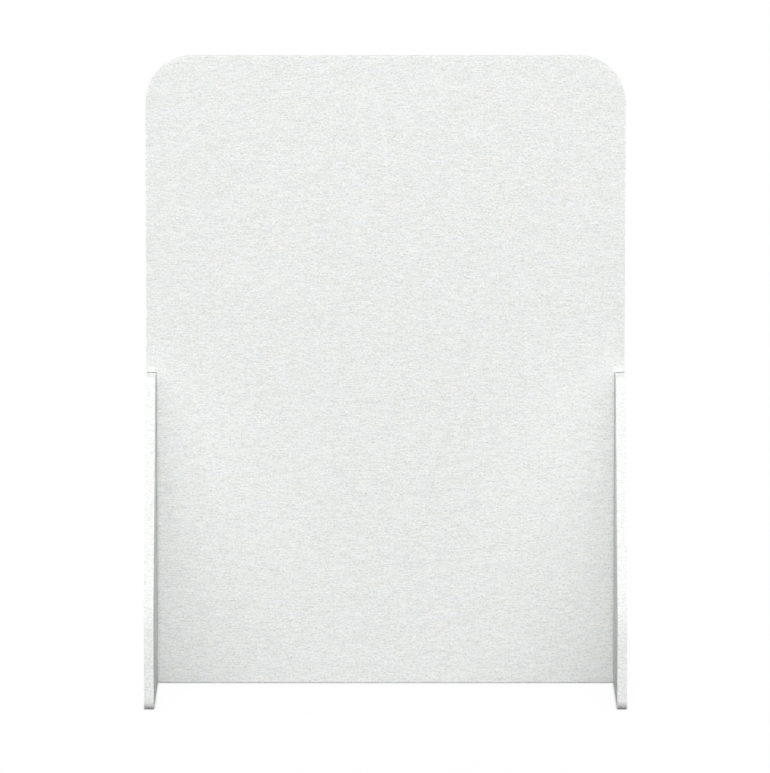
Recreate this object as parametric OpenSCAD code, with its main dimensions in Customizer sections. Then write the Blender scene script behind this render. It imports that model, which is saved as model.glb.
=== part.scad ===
// Free-standing acoustic divider screen of thick pressed felt board.
// A flat panel with rounded top corners stands between two end feet of the same board.
// Each lower end of the panel is stepped in by the foot's thickness, so that the foot's outer face is
// flush with the panel's end above it, and the step's shoulder sits on the foot's flat top.
// Connector bolts through the foot pull it against the stepped end, and barrel nuts in the panel take them.
// Origin: on the floor, under the middle of the screen. +X along the panel, -Y to the front, +Z up.

/* [Panel] */
// Width of the screen, from the outer face of one foot to that of the other
screen_w = 1200; // [900:10:1600]
// Height of the panel's top edge above the floor
screen_h = 1598; // [1300:1:1900]
// Thickness of the panel's felt board
panel_t = 24; // [18:1:30]
// Radius of the panel's two top corners
panel_corner_r = 118; // [40:1:200]
// Gap between the floor and the panel's bottom edge, so that the screen stands on its feet alone
floor_gap = 6; // [2:1:20]

/* [Feet] */
// Height of each foot, where the panel's shoulders sit
foot_h = 798; // [740:1:950]
// Depth of each foot on the floor, front to back
foot_depth = 700; // [500:5:900]
// Depth of each foot at its flat top, front to back
foot_top_depth = 180; // [140:1:260]
// Thickness of the feet's felt board
foot_t = 24; // [18:1:30]
// Height at which the foot's front and rear edges bend from upright to slanted
bend_h = 230; // [160:1:300]
// Radius of that bend
bend_r = 220; // [100:5:300]
// Radius of the foot's lower corners
toe_r = 24; // [8:1:40]
// Radius of the foot's upper corners
shoulder_r = 24; // [8:1:40]

/* [Bolts] */
// Height of the lower bolt above the floor
lower_bolt_h = 110; // [60:1:200]
// Distance of the upper bolt below the foot's top. The middle bolt is halfway between the other two.
upper_bolt_drop = 108; // [60:1:200]
// Diameter of the bolt's shank
bolt_d = 6; // [5:1:8]
// Diameter of the bolt's wide flat head
head_d = 17; // [13:1:22]
// Thickness of the bolt's head
head_t = 2.4; // [2:0.1:4]
// Depth of the head's face below the foot's outer face
head_sink = 0.6; // [0.2:0.1:2]
// Width across the flats of the hexagon socket
socket_af = 4; // [3:0.5:4]
// Depth of the hexagon socket
socket_depth = 3.4; // [2.5:0.1:5]
// Length of the bolt that stands out past its nut
bolt_past_nut = 2; // [1:0.5:5]
// Clearance all round the bolt in the felt
bolt_clear = 0.25; // [0.1:0.05:0.5]
// Clearance all round the bolt's head in its recess
head_clear = 0.5; // [0.3:0.1:1]

/* [Barrel nuts] */
// Diameter of the barrel nut
nut_d = 10; // [9:1:14]
// Length of the barrel nut
nut_l = 14; // [12:1:16]
// Distance from the panel's stepped end to the middle of the barrel nut
nut_inset = 32; // [24:1:50]
// Width of the screwdriver slot in the nut's rear end
nut_slot_w = 1.4; // [1:0.1:2]
// Depth of that slot
nut_slot_depth = 1.6; // [1:0.1:2]
// Clearance all round the barrel nut in the felt
nut_clear = 0.2; // [0.1:0.05:0.5]
// Clearance all round the bolt in the nut's thread
thread_clear = 0.1; // [0.05:0.05:0.3]

/* [Hidden] */
$fn = 96;
LEFT = -1;
RIGHT = 1;

// Chamfer on the rim of the bolt's head
head_chamfer = 0.5;
// Chamfer at the bolt's tip
tip_chamfer = 0.9;
// Chamfer on both ends of the barrel nut
nut_chamfer = 0.6;
// Spare depth of the bolt's hole past the bolt's tip
hole_spare = 2;
// Length by which a cut runs past the surface that it opens
over = 1;
// How much larger than its radius a rounded corner's circle is
graze = 0.01;

upper_bolt_h = foot_h - upper_bolt_drop;
middle_bolt_h = (lower_bolt_h + upper_bolt_h) / 2;
bolt_heights = [lower_bolt_h, middle_bolt_h, upper_bolt_h];
panel_edge_x = screen_w / 2 - foot_t;
head_recess = head_t + head_sink;
bolt_seat_x = screen_w / 2 - head_recess;
nut_x = panel_edge_x - nut_inset;
bolt_l = bolt_seat_x - nut_x + nut_d / 2 + bolt_past_nut;

// Unit vector from point a to point b
function towards(a, b) = (b - a) / norm(b - a);
// Angle at corner b of the path a, b, c
function corner_angle(a, b, c) = acos(towards(b, a) * towards(b, c));

// What rounding to the radius r takes off the corner b of the path a, b, c.
// The circle is a hair larger than r, so that it crosses the straight edges and doesn't graze them.
module corner_waste(a, b, c, r) {
    half = corner_angle(a, b, c) / 2;
    start = b + towards(b, a) * r / tan(half);
    end = b + towards(b, c) * r / tan(half);
    centre = b + towards(b, (start + end) / 2) * r / sin(half);
    translate(centre) difference() {
        polygon([[0, 0], 2 * (start - centre), 2 * (b - centre), 2 * (end - centre)]);
        circle(r = r + graze);
    }
}

// Closed outline through the points, with each corner rounded to its radius, where that isn't zero
module rounded_outline(points, radii) {
    n = len(points);
    difference() {
        polygon(points);
        for (i = [0:n - 1])
            if (radii[i] > 0)
                corner_waste(points[(i + n - 1) % n], points[i], points[(i + 1) % n], radii[i]);
    }
}

// Turns a solid that is made for the right end of the screen to the end named
module at_end(side) {
    mirror([side == LEFT ? 1 : 0, 0, 0]) children();
}

// Hole along X for a bolt, at the right end: clearance through the foot and into the panel
module bolt_hole(height) {
    length = bolt_l + head_recess + hole_spare;
    translate([screen_w / 2 - length, 0, height])
        rotate([0, 90, 0]) cylinder(d = bolt_d + 2 * bolt_clear, h = length + over);
}

// Recess in the foot's outer face for a bolt's head, at the right end
module head_pocket(height) {
    translate([bolt_seat_x, 0, height])
        rotate([0, 90, 0]) cylinder(d = head_d + 2 * head_clear, h = head_recess + over);
}

// Blind hole along Y for a barrel nut, drilled from the panel's rear face, at the right end
module nut_hole(height) {
    translate([nut_x, -nut_l / 2, height])
        rotate([-90, 0, 0]) cylinder(d = nut_d + 2 * nut_clear, h = nut_l / 2 + panel_t / 2 + over);
}

module panel_outline() {
    half = screen_w / 2;
    rounded_outline(
        [
            [panel_edge_x, floor_gap], [panel_edge_x, foot_h], [half, foot_h], [half, screen_h],
            [-half, screen_h], [-half, foot_h], [-panel_edge_x, foot_h], [-panel_edge_x, floor_gap],
        ],
        [0, 0, 0, panel_corner_r, panel_corner_r, 0, 0, 0]
    );
}

module foot_outline() {
    base = foot_depth / 2;
    top = foot_top_depth / 2;
    rounded_outline(
        [[base, 0], [base, bend_h], [top, foot_h], [-top, foot_h], [-base, bend_h], [-base, 0]],
        [toe_r, bend_r, shoulder_r, shoulder_r, bend_r, toe_r]
    );
}

module screen_panel() {
    color("whitesmoke") difference() {
        translate([0, panel_t / 2, 0]) rotate([90, 0, 0]) linear_extrude(panel_t) panel_outline();
        for (side = [LEFT, RIGHT], height = bolt_heights) at_end(side) {
            bolt_hole(height);
            nut_hole(height);
        }
    }
}

module foot(side) {
    color("white") at_end(side) difference() {
        translate([panel_edge_x, 0, 0]) rotate([90, 0, 90]) linear_extrude(foot_t) foot_outline();
        for (height = bolt_heights) {
            bolt_hole(height);
            head_pocket(height);
        }
    }
}

module connector_bolt(side, height) {
    shank_r = bolt_d / 2;
    head_r = head_d / 2;
    color("silver") at_end(side) translate([bolt_seat_x, 0, height]) rotate([0, 90, 0]) difference() {
        rotate_extrude() polygon([
            [0, -bolt_l], [shank_r - tip_chamfer, -bolt_l], [shank_r, tip_chamfer - bolt_l], [shank_r, 0],
            [head_r, 0], [head_r, head_t - head_chamfer], [head_r - head_chamfer, head_t], [0, head_t],
        ]);
        translate([0, 0, head_t - socket_depth])
            cylinder(d = socket_af / cos(30), h = socket_depth + over, $fn = 6);
    }
}

module barrel_nut(side, height) {
    radius = nut_d / 2;
    color("lightgray") at_end(side) translate([nut_x, 0, height]) difference() {
        rotate([-90, 0, 0]) rotate_extrude() polygon([
            [0, -nut_l / 2], [radius - nut_chamfer, -nut_l / 2], [radius, nut_chamfer - nut_l / 2],
            [radius, nut_l / 2 - nut_chamfer], [radius - nut_chamfer, nut_l / 2], [0, nut_l / 2],
        ]);
        translate([-radius - over, 0, 0])
            rotate([0, 90, 0]) cylinder(d = bolt_d + 2 * thread_clear, h = nut_d + 2 * over);
        translate([-radius - over, nut_l / 2 - nut_slot_depth, -nut_slot_w / 2])
            cube([nut_d + 2 * over, nut_slot_depth + over, nut_slot_w]);
    }
}

screen_panel();
foot(LEFT);  // left_foot
foot(RIGHT);  // right_foot
connector_bolt(LEFT, lower_bolt_h);  // left_lower_bolt
connector_bolt(LEFT, middle_bolt_h);  // left_middle_bolt
connector_bolt(LEFT, upper_bolt_h);  // left_upper_bolt
connector_bolt(RIGHT, lower_bolt_h);  // right_lower_bolt
connector_bolt(RIGHT, middle_bolt_h);  // right_middle_bolt
connector_bolt(RIGHT, upper_bolt_h);  // right_upper_bolt
barrel_nut(LEFT, lower_bolt_h);  // left_lower_barrel_nut
barrel_nut(LEFT, middle_bolt_h);  // left_middle_barrel_nut
barrel_nut(LEFT, upper_bolt_h);  // left_upper_barrel_nut
barrel_nut(RIGHT, lower_bolt_h);  // right_lower_barrel_nut
barrel_nut(RIGHT, middle_bolt_h);  // right_middle_barrel_nut
barrel_nut(RIGHT, upper_bolt_h);  // right_upper_barrel_nut
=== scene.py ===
import math
from typing import NamedTuple

import bmesh
import bpy
import numpy as np
from mathutils import Matrix, Vector, geometry


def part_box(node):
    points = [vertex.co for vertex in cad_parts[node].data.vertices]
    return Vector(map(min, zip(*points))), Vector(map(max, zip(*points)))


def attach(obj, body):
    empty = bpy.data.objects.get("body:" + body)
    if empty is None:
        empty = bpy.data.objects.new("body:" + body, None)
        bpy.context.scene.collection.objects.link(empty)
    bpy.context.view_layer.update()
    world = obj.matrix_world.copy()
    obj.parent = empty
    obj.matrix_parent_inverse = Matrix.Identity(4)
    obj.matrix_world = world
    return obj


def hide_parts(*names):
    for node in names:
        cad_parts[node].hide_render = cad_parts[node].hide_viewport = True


# Looks of a free-standing acoustic screen: a panel and two feet of white marled felt board, bolted together.
# Everything is in metres, with +X along the panel, -Y to the front and +Z up.
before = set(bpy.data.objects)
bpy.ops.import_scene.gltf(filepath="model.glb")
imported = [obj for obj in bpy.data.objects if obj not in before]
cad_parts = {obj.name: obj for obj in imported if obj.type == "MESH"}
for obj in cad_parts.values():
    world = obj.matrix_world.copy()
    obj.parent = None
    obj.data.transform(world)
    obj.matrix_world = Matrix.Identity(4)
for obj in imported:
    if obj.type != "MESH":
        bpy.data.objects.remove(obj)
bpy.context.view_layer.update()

MM = 0.001
LEFT = -1
RIGHT = 1
ENDS = {LEFT: "left", RIGHT: "right"}

# Sizes of the boards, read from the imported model
panel_low, panel_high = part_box("screen_panel")
foot_low, foot_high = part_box("right_foot")
HALF_W = panel_high.x
SCREEN_H = panel_high.z
FLOOR_GAP = panel_low.z
PANEL_T = panel_high.y - panel_low.y
FOOT_T = foot_high.x - foot_low.x
FOOT_H = foot_high.z
HALF_DEPTH = foot_high.y
# Distance from the middle of the screen to the panel's stepped ends, which the feet stand against
EDGE_X = HALF_W - FOOT_T

# Sizes of the boards that a box doesn't give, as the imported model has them
HALF_TOP_DEPTH = 90 * MM
BEND_H = 230 * MM
BEND_R = 220 * MM
CORNER_R = 118 * MM
TOE_R = 24 * MM
SHOULDER_R = 24 * MM

# The cut edges are slightly rounded, and more so round the panel's stepped part between the feet
EASE_R = 0.6 * MM
STEP_EASE_R = 3.8 * MM
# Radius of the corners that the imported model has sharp, and the seam that shows over each foot
CRISP_R = 1.5 * MM
SEAM = 1.2 * MM
# Distance from the outline to where a face's mesh begins, past a flat strip that keeps its shading flat
BORDER = 5 * MM
# Spacing of the mesh on the faces and along the cut edges, and its greatest turn along an arc
FACE_STEP = 16 * MM
EDGE_STEP = 6 * MM
ARC_STEP = math.radians(6)
# Steps in each quarter round of a cut edge, and in the flat between the two
EASE_STEPS = 4
FLAT_STEPS = 5
# A face is filled with triangles inside its border alone, and points nearer than this are made one
INSIDE_ONLY = 1
MERGE_DISTANCE = 1e-7

# Fasteners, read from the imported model
bolt_low, bolt_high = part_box("right_lower_bolt")
nut_low, nut_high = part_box("right_lower_barrel_nut")
HEAD_R = (bolt_high.y - bolt_low.y) / 2
BOLT_TIP_X = bolt_low.x
HEAD_FACE_X = bolt_high.x
NUT_R = (nut_high.x - nut_low.x) / 2
NUT_X = (nut_high.x + nut_low.x) / 2
NUT_HALF_L = nut_high.y
HEIGHTS = {
    name: sum(corner.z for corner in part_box(f"right_{name}_bolt")) / 2
    for name in ("lower", "middle", "upper")
}

# Sizes of the fasteners and their holes that a box doesn't give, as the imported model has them
SHANK_R = 3 * MM
HEAD_T = 2.4 * MM
HEAD_RIM = 0.5 * MM
TIP_RIM = 0.9 * MM
SOCKET_HALF = 2 * MM
SOCKET_DEPTH = 3.4 * MM
NUT_RIM = 0.6 * MM
NUT_SLOT_W = 1.4 * MM
NUT_SLOT_DEPTH = 1.6 * MM
THREAD_CLEAR = 0.1 * MM
BOLT_HOLE_R = 3.25 * MM
HEAD_POCKET_R = 9 * MM
NUT_HOLE_R = 5.2 * MM
HOLE_SPARE = 2 * MM

# The M6 thread, its length from the bolt's tip, and the rings of mesh in each of its turns
THREAD_PITCH = 1 * MM
THREAD_DEPTH = 0.54 * MM
THREAD_L = 36 * MM
THREAD_STEPS = 6
# A point beyond this share of a rod's radius lies on its surface, where the thread is cut
ON_ROD_SHARE = 0.98
# The small softened edges on the steel, and the cone at the bottom of the hexagon socket
SOFT_EDGE = 0.15 * MM
CONE_R = 1.8 * MM
CONE_DEPTH = 1 * MM
# How far the mouth of a hole in the felt is pressed open, and how far a cut runs past a surface
HOLE_FLARE = 0.8 * MM
OVER = 1 * MM
# Sides of everything turned
TURNED_SIDES = 36

# Edges on the meshes that are sharper than this aren't smoothed over
SHARP_EDGE = math.radians(32)
# A board's face that leans further than this from its two flat faces is part of the cut edge
CUT_EDGE_LEAN = math.radians(45)
# Names of the meshes' attributes: 1 on a cut edge, and the distance in mm from the axis of a turning
CUT_EDGE = "cut_edge"
TURNING = "turning"

# The camera, fitted to the photograph's straight edges. The sensor spans the photograph's height in pixels.
PHOTO_H = 773
FOCAL_PIXELS = 8609.92
SENSOR = 36.0
CAMERA_PITCH = math.radians(8.5406)
CAMERA_DISTANCE = 21.63267
AIM = Vector((-0.0013, 0, 0.7619))
CLIP_END = 200

# Lamps, each with its level, and in degrees its height above the floor, its turn round from the front and
# its spread
LAMPS = {
    "front": (3.2, 0, 0, 110),
    "front_narrow": (0.43, 0, 0, 5),
    "front_high": (0.48, 30, 0, 8),
    "top": (0.9, 75, 0, 30),
    "left": (1.22, 12, -100, 20),
    "right": (1.22, 12, 100, 20),
    "rear": (2.0, 18, 180, 50),
}
WHITE = (1, 1, 1, 1)
# Level of the light from all round
WORLD_LEVEL = 0.06
# Radius and sides of the round floor, and the grey that lights the object from below
FLOOR_R = 40
FLOOR_SIDES = 96
FLOOR_GREY = 0.18
# Share of the floor's wide shadow that the camera sees
SHADOW_SHARE = 0.05
# Reach and depth of the painted shadow, a dark line on the floor where a foot stands
PAINTED_SHADOW_REACH = 6 * MM
PAINTED_SHADOW_DEPTH = 0.6


class Value:
    """A socket of a node tree that can be used in a sum."""

    def __init__(self, tree, socket):
        self.tree = tree
        self.socket = socket

    def __add__(self, other):
        return self.tree.maths("ADD", self, other)

    def __radd__(self, other):
        return self.tree.maths("ADD", other, self)

    def __sub__(self, other):
        return self.tree.maths("SUBTRACT", self, other)

    def __rsub__(self, other):
        return self.tree.maths("SUBTRACT", other, self)

    def __mul__(self, other):
        return self.tree.maths("MULTIPLY", self, other)

    def __rmul__(self, other):
        return self.tree.maths("MULTIPLY", other, self)

    def __truediv__(self, other):
        return self.tree.maths("DIVIDE", self, other)

    def __rtruediv__(self, other):
        return self.tree.maths("DIVIDE", other, self)

    def __abs__(self):
        return self.tree.maths("ABSOLUTE", self)

    def __gt__(self, other):
        return self.tree.maths("GREATER_THAN", self, other)

    def __lt__(self, other):
        return self.tree.maths("LESS_THAN", self, other)


class Pattern(NamedTuple):
    """A noise pattern: the lengths of its patches along the three axes, and what it does to a surface."""

    lengths: tuple
    # Where its noise starts, so that no two patterns line up
    start: tuple = (0, 0, 0)
    # How much lighter and darker it makes the surface, and how much it raises it
    contrast: float = 0
    height: float = 0
    # Degrees that it is turned about the third axis, and how many finer noises it holds
    turn: float = 0
    detail: float = 2


# Roughness of every pattern's noise, and the middle of a noise's range from 0 to 1
NOISE_ROUGHNESS = 0.55
NOISE_MIDDLE = 0.5


def find_socket(sockets, key):
    """The socket with this identifier, or else with this name or place in the row."""
    by_identifier = {socket.identifier: socket for socket in sockets}
    return by_identifier[key] if key in by_identifier else sockets[key]


def set_stops(elements, stops):
    """Gives a colour ramp its (place, colour) stops."""
    while len(elements) < len(stops):
        elements.new(1)
    for element, (place, colour) in zip(elements, stops):
        element.position = place
        element.color = colour


class Tree:
    """A node tree of Blender's, with one way to make any of its nodes."""

    def __init__(self, node_tree):
        self.node_tree = node_tree

    def node(self, kind, settings=None, inputs=(), output=0):
        """Makes a node, sets its settings, sets or links its inputs, and returns one of its outputs."""
        node = self.node_tree.nodes.new(kind)
        for name, value in (settings or {}).items():
            if name == "stops":
                set_stops(node.color_ramp.elements, value)
            else:
                setattr(node, name, value)
        for key, value in inputs.items() if isinstance(inputs, dict) else enumerate(inputs):
            socket = find_socket(node.inputs, key)
            if isinstance(value, Value):
                self.node_tree.links.new(value.socket, socket)
            else:
                socket.default_value = value
        return Value(self, find_socket(node.outputs, output)) if node.outputs else None

    def maths(self, operation, *values):
        """What a Math node makes of values and numbers."""
        return self.node("ShaderNodeMath", {"operation": operation}, values)

    def vector_maths(self, operation, inputs, output):
        """What a Vector Math node makes of its inputs."""
        return self.node("ShaderNodeVectorMath", {"operation": operation}, inputs, output)

    def vector(self, *numbers):
        """A vector of three values or numbers."""
        return self.node("ShaderNodeCombineXYZ", inputs=numbers)

    def parts(self, vector):
        """The three numbers of a vector."""
        first = self.node("ShaderNodeSeparateXYZ", inputs=[vector])
        return [Value(self, socket) for socket in first.socket.node.outputs]

    def place(self):
        """Where a point is on the object."""
        return self.node("ShaderNodeTexCoord", output="Object")

    def attribute(self, name):
        """The number that a mesh stores under this name."""
        return self.node("ShaderNodeAttribute", {"attribute_name": name}, output="Fac")

    def noise(self, place, pattern):
        """A pattern's noise from 0 to 1."""
        turn = (0, 0, math.radians(pattern.turn))
        turned = self.node(
            "ShaderNodeMapping", inputs={"Vector": place, "Location": pattern.start, "Rotation": turn}
        )
        scale = [1 / length for length in pattern.lengths]
        scaled = self.node("ShaderNodeMapping", inputs={"Vector": turned, "Scale": scale})
        return self.node(
            "ShaderNodeTexNoise",
            inputs={"Vector": scaled, "Scale": 1, "Detail": pattern.detail, "Roughness": NOISE_ROUGHNESS},
        )

    def ramp(self, value, *stops):
        """The colour at a value, between (value, colour) stops."""
        return self.node("ShaderNodeValToRGB", {"stops": stops}, [value])

    def mix(self, way, share, first, second):
        """Two colours mixed in a way of blending, with this share of the second."""
        return self.node(
            "ShaderNodeMix",
            {"data_type": "RGBA", "blend_type": way},
            {"Factor_Float": share, "A_Color": first, "B_Color": second},
            "Result_Color",
        )

    def relief(self, height, strength, depth):
        """A normal that shows a height as fine relief of this strength and depth."""
        return self.node(
            "ShaderNodeBump", inputs={"Strength": strength, "Distance": depth, "Height": height}
        )


def new_material(name):
    """An empty material and its tree."""
    material = bpy.data.materials.new(name)
    material.use_nodes = True
    material.node_tree.nodes.clear()
    return material, Tree(material.node_tree)


def finish_material(tree, sockets):
    """Ends a material in a Principled shader with these sockets."""
    shader = tree.node("ShaderNodeBsdfPrincipled", inputs=sockets)
    tree.node("ShaderNodeOutputMaterial", inputs={"Surface": shader})


# Patterns of the felt's marl. Their lengths are along the fibres, up the board and through it, and the nap's
# hairs lie a little off the fibres' way.
STREAKS = Pattern((8 * MM, 2.2 * MM, 8 * MM), (0.3, 0.7, 0.1), contrast=0.51, height=0.5)
BANDS = Pattern((22 * MM, 3.2 * MM, 12 * MM), (1.9, 0.2, 0.4), contrast=0.38)
SPECKS = Pattern((4 * MM, 4 * MM, 4 * MM), (2.6, 1.3, 0.8), contrast=0.56, height=0.3)
NAP = Pattern((3 * MM, 0.35 * MM, 0.35 * MM), (0.5, 3.1, 1.2), contrast=0.2, height=0.4, turn=15)
# The pressed layers that show on a cut edge, and the cool and warm patches
LAYERS = Pattern((12 * MM, 12 * MM, 0.8 * MM), (1.1, 2.3, 3.3), contrast=0.1, height=0.6, detail=1)
TINTS = Pattern((36 * MM, 20 * MM, 20 * MM), (4.4, 0.9, 2.7), detail=1)
COOL_TINT = (0.98, 1, 1.02, 1)
WARM_TINT = (1.02, 1, 0.98, 1)
# Share of the marl that shows on a cut edge, and the edge's painted light, which is painted shade below 0
PANEL_CUT_MARL_SHARE = 0.35
PANEL_CUT_PAINTED_SHADE = -0.03
FOOT_CUT_MARL_SHARE = 0.75
FOOT_CUT_PAINTED_LIGHT = 0.03
# The felt at its darkest, at its middle and at its lightest, and the tones of the last two
DARK_FELT = (0.34, 0.36, 0.345, 1)
MID_FELT = (0.848, 0.866, 0.852, 1)
LIGHT_FELT = (0.97, 0.975, 0.97, 1)
MID_TONE = 0.5
LIGHT_TONE = 0.62
# The felt's finish, and the strength and depth of its fine relief
FELT_ROUGHNESS = 0.95
FELT_SHEEN = 0.02
FELT_SHEEN_ROUGHNESS = 0.6
FELT_RELIEF = 0.5
FELT_RELIEF_DEPTH = 0.4 * MM


def felt_material(name, run, rise, through, cut_marl_share, cut_painted_light):
    """Marled pressed felt, with its fibres along the run axis and its layers square to the through axis."""
    material, tree = new_material(name)
    axes = dict(zip("XYZ", tree.parts(tree.place())))
    place = tree.vector(axes[run], axes[rise], axes[through])
    cut = tree.attribute(CUT_EDGE)
    streaks, bands, specks, nap, layers = [
        tree.noise(place, pattern) - NOISE_MIDDLE for pattern in (STREAKS, BANDS, SPECKS, NAP, LAYERS)
    ]

    marl = streaks * STREAKS.contrast + bands * BANDS.contrast + specks * SPECKS.contrast
    marl = (marl + nap * NAP.contrast) * (1 - cut * (1 - cut_marl_share))
    # A cut edge's tone is raised by painted light, and lowered as painted shade where that is below 0
    tone = MID_TONE + marl + cut * (layers * LAYERS.contrast + cut_painted_light)
    grey = tree.ramp(tone, (0, DARK_FELT), (MID_TONE, MID_FELT), (LIGHT_TONE, LIGHT_FELT))
    tint = tree.mix("MIX", tree.noise(place, TINTS), COOL_TINT, WARM_TINT)
    height = streaks * STREAKS.height + specks * SPECKS.height + nap * NAP.height
    height = height + layers * cut * LAYERS.height
    finish_material(
        tree,
        {
            "Base Color": tree.mix("MULTIPLY", 1, grey, tint),
            "Roughness": FELT_ROUGHNESS,
            "Specular IOR Level": 0,
            "Sheen Weight": FELT_SHEEN,
            "Sheen Roughness": FELT_SHEEN_ROUGHNESS,
            "Normal": tree.relief(height, FELT_RELIEF, FELT_RELIEF_DEPTH),
        },
    )
    return material


# The zinc's crystals, their darkest and lightest colours, and where those lie in the crystals' noise
SPANGLE = Pattern((3 * MM, 3 * MM, 3 * MM), detail=4)
DARK_ZINC = (0.50, 0.51, 0.53, 1)
LIGHT_ZINC = (0.66, 0.67, 0.68, 1)
DARK_ZINC_TONE = 0.3
LIGHT_ZINC_TONE = 0.7
# The turning marks, and the strength and depth of their relief
MARKS_PER_MM = 6
MARKS_DETAIL = 3
MARKS_RELIEF = 0.3
MARKS_RELIEF_DEPTH = 0.04 * MM
# The steel's least roughness, and what the crystals and the marks add to it at most
STEEL_ROUGHNESS = 0.18
SPANGLE_ROUGHNESS = 0.24
MARKS_ROUGHNESS = 0.12


def zinc_steel_material():
    """Zinc plated steel with fine turning marks round each piece's own axis."""
    material, tree = new_material("zinc_steel")
    spangle = tree.noise(tree.place(), SPANGLE)
    marks = tree.node(
        "ShaderNodeTexNoise",
        {"noise_dimensions": "1D"},
        {"W": tree.attribute(TURNING), "Scale": MARKS_PER_MM, "Detail": MARKS_DETAIL},
    )
    finish_material(
        tree,
        {
            "Base Color": tree.ramp(spangle, (DARK_ZINC_TONE, DARK_ZINC), (LIGHT_ZINC_TONE, LIGHT_ZINC)),
            "Metallic": 1,
            "Roughness": STEEL_ROUGHNESS + spangle * SPANGLE_ROUGHNESS + marks * MARKS_ROUGHNESS,
            "Normal": tree.relief(marks, MARKS_RELIEF, MARKS_RELIEF_DEPTH),
        },
    )
    return material


def geometry_tree(name, inputs):
    """A Geometry Nodes tree, its inputs by name, and the identifiers that a modifier sets them by."""
    group = bpy.data.node_groups.new(name, "GeometryNodeTree")
    group.interface.new_socket(name="Geometry", in_out="INPUT", socket_type="NodeSocketGeometry")
    identifiers = {}
    for title, kind in inputs.items():
        socket = group.interface.new_socket(name=title, in_out="INPUT", socket_type="NodeSocket" + kind)
        identifiers[title] = socket.identifier
    group.interface.new_socket(name="Geometry", in_out="OUTPUT", socket_type="NodeSocketGeometry")
    tree = Tree(group)
    first = tree.node("NodeGroupInput")
    given = {socket.name: Value(tree, socket) for socket in first.socket.node.outputs}
    return tree, given, identifiers


def end_geometry(tree, shape, material):
    """Ends a tree in plain geometry that wears the material."""
    plain = tree.node("GeometryNodeRealizeInstances", inputs=[shape])
    worn = tree.node("GeometryNodeSetMaterial", inputs={"Geometry": plain, "Material": material})
    tree.node("NodeGroupOutput", inputs=[worn])


def moved_along(tree, shape, direction, distance):
    """The shape with each point moved along its direction."""
    offset = tree.vector_maths("SCALE", {"Vector": direction, "Scale": distance}, "Vector")
    return tree.node("GeometryNodeSetPosition", inputs={"Geometry": shape, "Offset": offset})


def pressed_felt_tree():
    """Makes a board slightly uneven, as pressed felt is, and marks its cut edges."""
    tree, given, identifiers = geometry_tree(
        "pressed_felt",
        {
            "Through": "Vector",
            "Wave height": "Float",
            "Wave size": "Float",
            "Nap height": "Float",
            "Nap size": "Float",
            "Seed": "Float",
            "Material": "Material",
        },
    )
    place = tree.node("GeometryNodeInputPosition")
    normal = tree.node("GeometryNodeInputNormal")
    rise = 0
    for kind in ("Wave", "Nap"):
        noise = tree.node(
            "ShaderNodeTexNoise",
            {"noise_dimensions": "4D"},
            {"Vector": place, "W": given["Seed"], "Scale": 1 / given[kind + " size"], "Detail": 1},
        )
        rise = rise + (noise - NOISE_MIDDLE) / NOISE_MIDDLE * given[kind + " height"]
    uneven = moved_along(tree, given["Geometry"], normal, rise)
    facing = tree.vector_maths("DOT_PRODUCT", [normal, given["Through"]], "Value")
    marked = tree.node(
        "GeometryNodeStoreNamedAttribute",
        {"data_type": "FLOAT", "domain": "FACE"},
        {"Geometry": uneven, "Name": CUT_EDGE, "Value": abs(facing) < math.cos(CUT_EDGE_LEAN)},
    )
    end_geometry(tree, marked, given["Material"])
    return tree.node_tree, identifiers


def cut_thread_tree():
    """Cuts a right-hand thread into a rod along X, from its tip to the run-out."""
    tree, given, identifiers = geometry_tree(
        "cut_thread",
        {
            "Rod radius": "Float",
            "Pitch": "Float",
            "Depth": "Float",
            "Run-out": "Float",
            "Material": "Material",
        },
    )
    along, side, up = tree.parts(tree.node("GeometryNodeInputPosition"))
    outward = tree.vector(0, side, up)
    radius = tree.vector_maths("LENGTH", [outward], "Value")
    turn = tree.maths("ARCTAN2", up, side) / (2 * math.pi)
    # From 0 on one crest of the thread to 1 on the next, with the groove deepest halfway
    phase = tree.maths("FRACT", along / given["Pitch"] - turn)
    groove = 1 - abs(phase * 2 - 1)
    # The groove fades out over the last pitch
    fade = tree.node(
        "ShaderNodeMapRange", inputs={"Value": given["Run-out"] - along, "From Max": given["Pitch"]}
    )
    on_rod = radius > given["Rod radius"] * ON_ROD_SHARE
    share = groove * fade * on_rod * given["Depth"] / given["Rod radius"]
    cut = moved_along(tree, given["Geometry"], outward, share * -1)
    end_geometry(tree, cut, given["Material"])
    return tree.node_tree, identifiers


def new_object(name, data):
    """An object in the scene that holds a mesh, a lamp or a camera."""
    made = bpy.data.objects.new(name, data)
    bpy.context.scene.collection.objects.link(made)
    return made


def settle(piece):
    """Turns a piece's modifiers into its mesh."""
    evaluated = piece.evaluated_get(bpy.context.evaluated_depsgraph_get())
    mesh = bpy.data.meshes.new_from_object(evaluated)
    piece.modifiers.clear()
    piece.data = mesh


def grow(piece, tree_and_identifiers, values):
    """Runs a Geometry Nodes tree on a piece, with its inputs by name."""
    group, identifiers = tree_and_identifiers
    change = piece.modifiers.new(group.name, "NODES")
    change.node_group = group
    for title, value in values.items():
        change[identifiers[title]] = value
    settle(piece)


def cut_out(piece, cutters):
    """Takes the cutter meshes, none of which meet, out of a piece."""
    tool = new_object("cutter", joined(cutters))
    cut = piece.modifiers.new("cut", "BOOLEAN")
    cut.operation = "DIFFERENCE"
    cut.solver = "EXACT"
    cut.object = tool
    settle(piece)
    bpy.data.objects.remove(tool)


def joined(meshes):
    """One mesh that holds all of these."""
    made = bmesh.new()
    for mesh in meshes:
        made.from_mesh(mesh)
    return finished_mesh(made, "joined")


def finished_mesh(made, name):
    """Ends what bmesh made in a mesh."""
    mesh = bpy.data.meshes.new(name)
    made.to_mesh(mesh)
    made.free()
    return mesh


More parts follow.
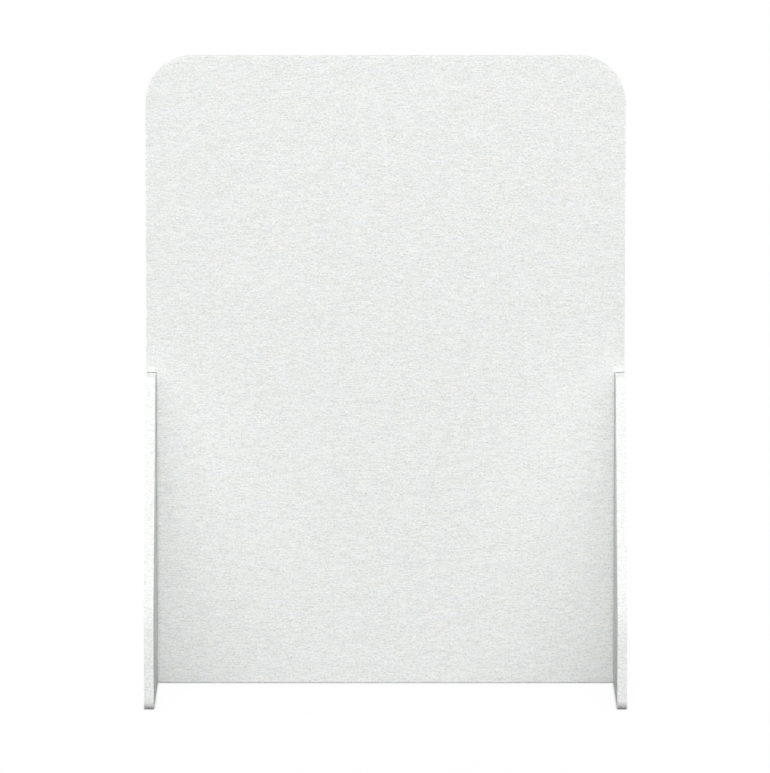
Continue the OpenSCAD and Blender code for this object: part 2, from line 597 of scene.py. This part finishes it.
def bridge(made, rings):
    """Joins each ring of points to the next with faces. A ring may be a single point."""
    count = max(len(ring) for ring in rings)
    for one, other in zip(rings, rings[1:]):
        for i in range(count):
            j = (i + 1) % count
            loop = [one[i % len(one)], one[j % len(one)], other[j % len(other)], other[i % len(other)]]
            made.faces.new(list(dict.fromkeys(loop)))


def closed_mesh(made, name):
    """Turns the faces of a closed shell outwards, and ends it in a mesh."""
    bmesh.ops.recalc_face_normals(made, faces=made.faces)
    return finished_mesh(made, name)


def placed(mesh, *steps):
    """A copy of the mesh after these turns and moves."""
    out = mesh.copy()
    for step in steps:
        out.transform(step)
    return out


def shade(piece):
    """Smooths a piece's faces, with its sharp edges kept."""
    made = bmesh.new()
    made.from_mesh(piece.data)
    for face in made.faces:
        face.smooth = True
    for edge in made.edges:
        edge.smooth = edge.is_manifold and edge.calc_face_angle(0) < SHARP_EDGE
    made.to_mesh(piece.data)
    made.free()


def hand_over(piece, node, slot):
    """Says which node a piece stands for, what it is made of, and what it moves with."""
    piece.name = piece.data.name = f"{node}_{slot}"
    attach(piece, "root")
    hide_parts(node)


def corner_arc(before, corner, after, radius):
    """Points along the arc that rounds a corner to the radius."""
    to_before = (before - corner).normalized()
    to_after = (after - corner).normalized()
    half = to_before.angle(to_after) / 2
    sweep = math.pi - 2 * half
    centre = corner + (to_before + to_after).normalized() * radius / math.sin(half)
    first = corner + to_before * radius / math.tan(half) - centre
    last = corner + to_after * radius / math.tan(half) - centre
    count = math.ceil(max(sweep / ARC_STEP, sweep * radius / EDGE_STEP))
    shares = [i / count for i in range(count + 1)]
    return [
        centre + (first * math.sin((1 - s) * sweep) + last * math.sin(s * sweep)) / math.sin(sweep)
        for s in shares
    ]


def outline(corners):
    """A closed anticlockwise path through (point, radius) corners, with points along its straights."""
    count = len(corners)
    bends = []
    for i, (corner, radius) in enumerate(corners):
        before = corners[i - 1][0]
        after = corners[(i + 1) % count][0]
        bends.append(corner_arc(before, corner, after, radius) if radius else [corner])
    path = []
    for i, bend in enumerate(bends):
        path.extend(bend)
        run = bends[(i + 1) % count][0] - bend[-1]
        steps = math.ceil(run.length / EDGE_STEP)
        path.extend(bend[-1] + run * j / steps for j in range(1, steps))
    return path


def inward_steps(path):
    """For each point of an anticlockwise path, the move that takes it one unit inside."""
    steps = []
    for i, point in enumerate(path):
        into = (point - path[i - 1]).normalized()
        out = (path[(i + 1) % len(path)] - point).normalized()
        one = Vector((-into.y, into.x))
        other = Vector((-out.y, out.x))
        steps.append((one + other) / (1 + one.dot(other)))
    return steps


def edge_section(thickness, radius):
    """The rounded cut edge from face to face, as (distance inside the outline, depth) pairs."""
    turns = [math.pi / 2 * i / EASE_STEPS for i in range(EASE_STEPS + 1)]
    first = [(BORDER, 0)]
    first += [(radius * (1 - math.sin(turn)), radius * (1 - math.cos(turn))) for turn in turns]
    last = [(inset, thickness - depth) for inset, depth in reversed(first)]
    flat = thickness - 2 * radius
    middle = [(0, radius + flat * i / FLAT_STEPS) for i in range(1, FLAT_STEPS)]
    return first + middle + last


def grid_inside(border):
    """A triangular grid of points inside a closed border, clear of it."""
    edge = np.array(border)
    after = np.roll(edge, -1, axis=0)
    low = edge.min(axis=0)
    high = edge.max(axis=0)
    rows = np.arange(low[1], high[1], FACE_STEP * math.sin(math.pi / 3))
    columns = np.arange(low[0], high[0], FACE_STEP)
    grid = [(u + FACE_STEP / 2 * (i % 2), v) for i, v in enumerate(rows) for u in columns]
    u, v = np.array(grid).T[:, :, None]
    # A point is inside where an odd number of the border's edges cross the level line to its right
    crossing = (edge[:, 1] > v) != (after[:, 1] > v)
    rise = np.where(after[:, 1] == edge[:, 1], 1, after[:, 1] - edge[:, 1])
    reach = edge[:, 0] + (v - edge[:, 1]) * (after[:, 0] - edge[:, 0]) / rise
    within = (crossing & (u < reach)).sum(axis=1) % 2 == 1
    clear = np.hypot(u - edge[:, 0], v - edge[:, 1]).min(axis=1) > FACE_STEP / 2
    return [Vector(point) for point, keep in zip(grid, within & clear) if keep]


def triangles_inside(border):
    """Points and triangles that fill a border, and each point's place on the border, if it has one."""
    count = len(border)
    inside = grid_inside([tuple(point) for point in border])
    sides = [(i, (i + 1) % count) for i in range(count)]
    points, _, triangles, sources, _, _ = geometry.delaunay_2d_cdt(
        border + inside, sides, [], INSIDE_ONLY, MERGE_DISTANCE
    )
    places = [next((i for i in origins if i < count), None) for origins in sources]
    return points, triangles, places


def board_mesh(corners, thickness, place, softer_below=0):
    """A closed board, with softer cut edges below a height.

    place turns a point along, up and into the board into a point of the scene.
    """
    path = outline(corners)
    steps = inward_steps(path)
    sections = [
        edge_section(thickness, STEP_EASE_R if point.y < softer_below else EASE_R) for point in path
    ]
    made = bmesh.new()
    rings = []
    for ring in zip(*sections):
        turned = zip(path, steps, ring)
        rings.append([made.verts.new(place(*(p + s * inset), depth)) for p, s, (inset, depth) in turned])
    bridge(made, rings)
    points, triangles, places = triangles_inside([p + s * BORDER for p, s in zip(path, steps)])
    for ring, depth in ((rings[0], 0), (rings[-1], thickness)):
        sheet = [
            made.verts.new(place(*point, depth)) if i is None else ring[i]
            for point, i in zip(points, places)
        ]
        for triangle in triangles:
            made.faces.new([sheet[i] for i in triangle])
    return closed_mesh(made, "board")


def hexagon(half):
    """Radius of a hexagon at each angle, from its half width across the flats."""
    side = math.pi / 3
    return lambda angle: half / math.cos(angle % side - side / 2)


def lathe(section):
    """A closed solid about X from (along, radius) pairs. A radius may be a function of the angle."""
    made = bmesh.new()
    angles = [2 * math.pi * i / TURNED_SIDES for i in range(TURNED_SIDES)]
    rings = []
    for along, radius in section:
        if radius == 0:
            rings.append([made.verts.new((along, 0, 0))])
            continue
        reach = [radius(angle) if callable(radius) else radius for angle in angles]
        rings.append(
            [made.verts.new((along, r * math.cos(a), r * math.sin(a))) for r, a in zip(reach, angles)]
        )
    bridge(made, rings)
    return closed_mesh(made, "turned")


def hole_cutter(bottom, radius, mouth):
    """A cutter for a hole along X, from its bottom to its mouth, which is pressed open."""
    way = math.copysign(1, mouth - bottom)
    return lathe(
        [
            (bottom, 0),
            (bottom, radius),
            (mouth - way * HOLE_FLARE, radius),
            (mouth + way * OVER, radius + HOLE_FLARE + OVER),
            (mouth + way * OVER, 0),
        ]
    )


def at_end(side, height):
    """Takes what is made for the right end, at floor level, to a bolt's place at either end."""
    turn = Matrix.Rotation(math.pi if side == LEFT else 0, 4, "Y")
    return Matrix.Translation((0, 0, height)) @ turn


def everywhere(mesh, sides=tuple(ENDS)):
    """Copies of a mesh at each bolt of these ends."""
    return [placed(mesh, at_end(side, height)) for side in sides for height in HEIGHTS.values()]


# Turns what lies along X to lie along Y, from front to rear
X_TO_Y = Matrix.Rotation(math.pi / 2, 4, "Z")
# Moves what is made round the origin to a nut's distance along X, at floor level
TO_NUT = Matrix.Translation((NUT_X, 0, 0))

PRESSED_FELT = pressed_felt_tree()
CUT_THREAD = cut_thread_tree()

# The felt's uneven surface: its long waves, its short nap, and the seed of each board's
WAVE_HEIGHT = 0.10 * MM
WAVE_SIZE = 160 * MM
NAP_HEIGHT = 0.04 * MM
NAP_SIZE = 9 * MM
PANEL_SEED = 3.0
LEFT_FOOT_SEED = 4.0
RIGHT_FOOT_SEED = 6.0
# The ways through the feet's boards and the panel's board
THROUGH_FOOT = (1.0, 0.0, 0.0)
THROUGH_PANEL = (0.0, 1.0, 0.0)


def press(piece, through, seed, material):
    """Gives a board its uneven surface and its material."""
    grow(
        piece,
        PRESSED_FELT,
        {
            "Through": through,
            "Wave height": WAVE_HEIGHT,
            "Wave size": WAVE_SIZE,
            "Nap height": NAP_HEIGHT,
            "Nap size": NAP_SIZE,
            "Seed": seed,
            "Material": material,
        },
    )
    shade(piece)


def make_panel(material):
    """The panel, with its bolt holes from its stepped ends and its nut holes from the rear."""
    shoulder = FOOT_H + SEAM
    corners = [
        ((EDGE_X, FLOOR_GAP), CRISP_R), ((EDGE_X, shoulder), 0), ((HALF_W, shoulder), CRISP_R),
        ((HALF_W, SCREEN_H), CORNER_R), ((-HALF_W, SCREEN_H), CORNER_R), ((-HALF_W, shoulder), CRISP_R),
        ((-EDGE_X, shoulder), 0), ((-EDGE_X, FLOOR_GAP), CRISP_R),
    ]
    corners = [(Vector(point), radius) for point, radius in corners]
    board = board_mesh(corners, PANEL_T, lambda u, v, d: (u, d - PANEL_T / 2, v), shoulder + CRISP_R / 2)
    panel = new_object("panel", board)
    cut_out(panel, everywhere(hole_cutter(BOLT_TIP_X - HOLE_SPARE, BOLT_HOLE_R, EDGE_X)))
    nut_hole = placed(hole_cutter(-NUT_HALF_L, NUT_HOLE_R, PANEL_T / 2), X_TO_Y, TO_NUT)
    cut_out(panel, everywhere(nut_hole))
    press(panel, THROUGH_PANEL, PANEL_SEED, material)
    hand_over(panel, "screen_panel", "felt_board")


def make_foot(side, seed, material):
    """A foot, with its bolt holes from its inner face and the heads' recesses in its outer face."""
    front = [
        ((HALF_DEPTH, 0), TOE_R), ((HALF_DEPTH, BEND_H), BEND_R), ((HALF_TOP_DEPTH, FOOT_H), SHOULDER_R),
    ]
    rear = [((-u, v), radius) for (u, v), radius in reversed(front)]
    corners = [(Vector(point), radius) for point, radius in front + rear]
    foot = new_object("foot", board_mesh(corners, FOOT_T, lambda u, v, d: (side * (EDGE_X + d), u, v)))
    cut_out(foot, everywhere(hole_cutter(HEAD_FACE_X, BOLT_HOLE_R, EDGE_X), [side]))
    cut_out(foot, everywhere(hole_cutter(HEAD_FACE_X - HEAD_T, HEAD_POCKET_R, HALF_W), [side]))
    press(foot, THROUGH_FOOT, seed, material)
    hand_over(foot, f"{ENDS[side]}_foot", "felt_board")


def threaded_rod(section, radius, run_out, material):
    """A turned rod along X with its thread cut from the tip to the run-out."""
    rod = new_object("rod", lathe(section))
    grow(
        rod,
        CUT_THREAD,
        {
            "Rod radius": radius,
            "Pitch": THREAD_PITCH,
            "Depth": THREAD_DEPTH,
            "Run-out": run_out,
            "Material": material,
        },
    )
    return rod


def thread_rings(start, end, radius):
    """The close rings of a lathe section that a thread is cut into."""
    count = round((end - start) / THREAD_PITCH * THREAD_STEPS)
    return [(start + (end - start) * i / count, radius) for i in range(count + 1)]


def mark_turning(piece, axis):
    """Stores each point's distance in mm from the X or Y axis, for the turning marks."""
    mesh = piece.data
    points = np.empty(len(mesh.vertices) * 3)
    mesh.vertices.foreach_get("co", points)
    across = np.delete(points.reshape(-1, 3), "XYZ".index(axis), axis=1)
    reach = mesh.attributes.new(TURNING, "FLOAT", "POINT")
    reach.data.foreach_set("value", np.hypot(*across.T) / MM)


def bolt_master(material):
    """A flat-headed connector bolt with a hexagon socket, for the right end at floor level."""
    seat = HEAD_FACE_X - HEAD_T
    bottom = HEAD_FACE_X - SOCKET_DEPTH
    thread_end = BOLT_TIP_X + THREAD_L
    section = [
        (bottom - CONE_DEPTH, 0),
        (bottom, CONE_R),
        (bottom + SOFT_EDGE, hexagon(SOCKET_HALF)),
        (HEAD_FACE_X - SOFT_EDGE, hexagon(SOCKET_HALF)),
        (HEAD_FACE_X, hexagon(SOCKET_HALF + SOFT_EDGE)),
        (HEAD_FACE_X, HEAD_R - HEAD_RIM - SOFT_EDGE),
        (HEAD_FACE_X - SOFT_EDGE / 2, HEAD_R - HEAD_RIM),
        (HEAD_FACE_X - HEAD_RIM, HEAD_R - SOFT_EDGE / 2),
        (HEAD_FACE_X - HEAD_RIM - SOFT_EDGE, HEAD_R),
        (seat + SOFT_EDGE, HEAD_R),
        (seat, HEAD_R - SOFT_EDGE),
        (seat, SHANK_R + SOFT_EDGE),
        (seat - SOFT_EDGE, SHANK_R),
    ]
    section += reversed(thread_rings(BOLT_TIP_X + TIP_RIM, thread_end, SHANK_R))
    section += [(BOLT_TIP_X, SHANK_R - TIP_RIM), (BOLT_TIP_X, 0)]
    bolt = threaded_rod(section, SHANK_R, thread_end, material)
    shade(bolt)
    mark_turning(bolt, "X")
    return bolt


def slot_cutter():
    """A cutter for the screwdriver slot in a nut's rear end."""
    made = bmesh.new()
    size = (2 * (NUT_R + OVER), 2 * NUT_SLOT_DEPTH, NUT_SLOT_W)
    bmesh.ops.create_cube(made, size=1, matrix=Matrix.Diagonal((*size, 1)))
    return placed(finished_mesh(made, "slot"), Matrix.Translation((NUT_X, NUT_HALF_L, 0)))


def nut_master(material):
    """A barrel nut, for the right end at floor level: a turned barrel along Y with a thread along X."""
    section = [
        (-NUT_HALF_L, 0),
        (-NUT_HALF_L, NUT_R - NUT_RIM),
        (-NUT_HALF_L + NUT_RIM, NUT_R),
        (NUT_HALF_L - NUT_RIM, NUT_R),
        (NUT_HALF_L, NUT_R - NUT_RIM),
        (NUT_HALF_L, 0),
    ]
    nut = new_object("nut", placed(lathe(section), X_TO_Y, TO_NUT))
    bore_r = SHANK_R + THREAD_CLEAR
    start = NUT_X - NUT_R - OVER
    end = NUT_X + NUT_R + OVER
    section = [(start, 0), *thread_rings(start, end, bore_r), (end, 0)]
    rod = threaded_rod(section, bore_r, end + THREAD_PITCH, material)
    cut_out(nut, [rod.data])
    bpy.data.objects.remove(rod)
    cut_out(nut, [slot_cutter()])
    nut.data.materials.clear()
    nut.data.materials.append(material)
    shade(nut)
    nut.data.transform(TO_NUT.inverted())
    mark_turning(nut, "Y")
    nut.data.transform(TO_NUT)
    return nut


def make_fasteners(master, kind):
    """Puts a copy of a fastener at each bolt's place."""
    for side, end in ENDS.items():
        for level, height in HEIGHTS.items():
            piece = new_object("fastener", placed(master.data, at_end(side, height)))
            hand_over(piece, f"{end}_{level}_{kind}", "zinc_steel")
    bpy.data.objects.remove(master)


def seen_by_camera(tree):
    """1 for rays from the camera, or that it sees by reflection or through glass, and otherwise 0."""
    straight, reflected, through_glass = [
        tree.node("ShaderNodeLightPath", output=kind)
        for kind in ("Is Camera Ray", "Is Glossy Ray", "Is Transmission Ray")
    ]
    return tree.maths("MAXIMUM", tree.maths("MAXIMUM", straight, reflected), through_glass)


def make_world():
    """Plain light from all round, and a white background."""
    world = bpy.data.worlds.new("studio")
    world.use_nodes = True
    world.node_tree.nodes.clear()
    tree = Tree(world.node_tree)
    level = WORLD_LEVEL + seen_by_camera(tree) * (1 - WORLD_LEVEL)
    light = tree.node("ShaderNodeBackground", inputs={"Color": WHITE, "Strength": level})
    tree.node("ShaderNodeOutputWorld", inputs={"Surface": light})
    bpy.context.scene.world = world


def make_floor():
    """A plain pale floor that looks white, with a faint shadow, and painted shadow that is dark where a foot
    stands.
    """
    made = bmesh.new()
    bmesh.ops.create_circle(made, cap_ends=True, radius=FLOOR_R, segments=FLOOR_SIDES)
    floor = new_object("floor", finished_mesh(made, "floor"))
    material, tree = new_material("floor")
    seen = seen_by_camera(tree)
    # Painted shadow: the floor's white is dimmed where the object stands close over it
    open_share = tree.node("ShaderNodeAmbientOcclusion", inputs={"Distance": PAINTED_SHADOW_REACH}, output="AO")
    white_with_painted_shadow = 1 - (1 - open_share) * PAINTED_SHADOW_DEPTH
    white = tree.node("ShaderNodeEmission", inputs={"Color": WHITE, "Strength": white_with_painted_shadow})
    grey = FLOOR_GREY + seen * (1 - FLOOR_GREY)
    colour = tree.node("ShaderNodeCombineColor", inputs=[grey] * 3)
    plain = tree.node("ShaderNodeBsdfDiffuse", inputs={"Color": colour})
    mixed = tree.node("ShaderNodeMixShader", inputs=[seen * (1 - SHADOW_SHARE), plain, white])
    tree.node("ShaderNodeOutputMaterial", inputs={"Surface": mixed})
    floor.data.materials.append(material)


def make_sun(name, level, height, turn, spread):
    """A soft sun. Its height above the floor, turn round from the front and spread are in degrees."""
    sun = bpy.data.lights.new(name, "SUN")
    sun.energy = level
    sun.angle = math.radians(spread)
    lamp = new_object(name, sun)
    lamp.rotation_euler = (math.radians(90 - height), 0, math.radians(turn))


def make_camera():
    """The camera, at its distance from the aim and looking down at it by its pitch."""
    camera = bpy.data.cameras.new("camera")
    camera.sensor_width = SENSOR
    camera.lens = FOCAL_PIXELS * SENSOR / PHOTO_H
    camera.clip_end = CLIP_END
    holder = new_object("camera", camera)
    back = Vector((0, -math.cos(CAMERA_PITCH), math.sin(CAMERA_PITCH)))
    holder.location = AIM + back * CAMERA_DISTANCE
    holder.rotation_euler = (math.pi / 2 - CAMERA_PITCH, 0, 0)
    bpy.context.scene.camera = holder


bpy.context.scene.view_settings.view_transform = "Standard"
make_camera()
make_world()
make_floor()
for name, setting in LAMPS.items():
    make_sun(name, *setting)

# The panel's cut edges get painted shade, and the feet's cut edges get painted light
panel_felt = felt_material("panel_felt", "X", "Z", "Y", PANEL_CUT_MARL_SHARE, PANEL_CUT_PAINTED_SHADE)
foot_felt = felt_material("foot_felt", "Y", "Z", "X", FOOT_CUT_MARL_SHARE, FOOT_CUT_PAINTED_LIGHT)
zinc_steel = zinc_steel_material()

make_panel(panel_felt)
make_foot(LEFT, LEFT_FOOT_SEED, foot_felt)
make_foot(RIGHT, RIGHT_FOOT_SEED, foot_felt)
make_fasteners(bolt_master(zinc_steel), "bolt")
make_fasteners(nut_master(zinc_steel), "barrel_nut")
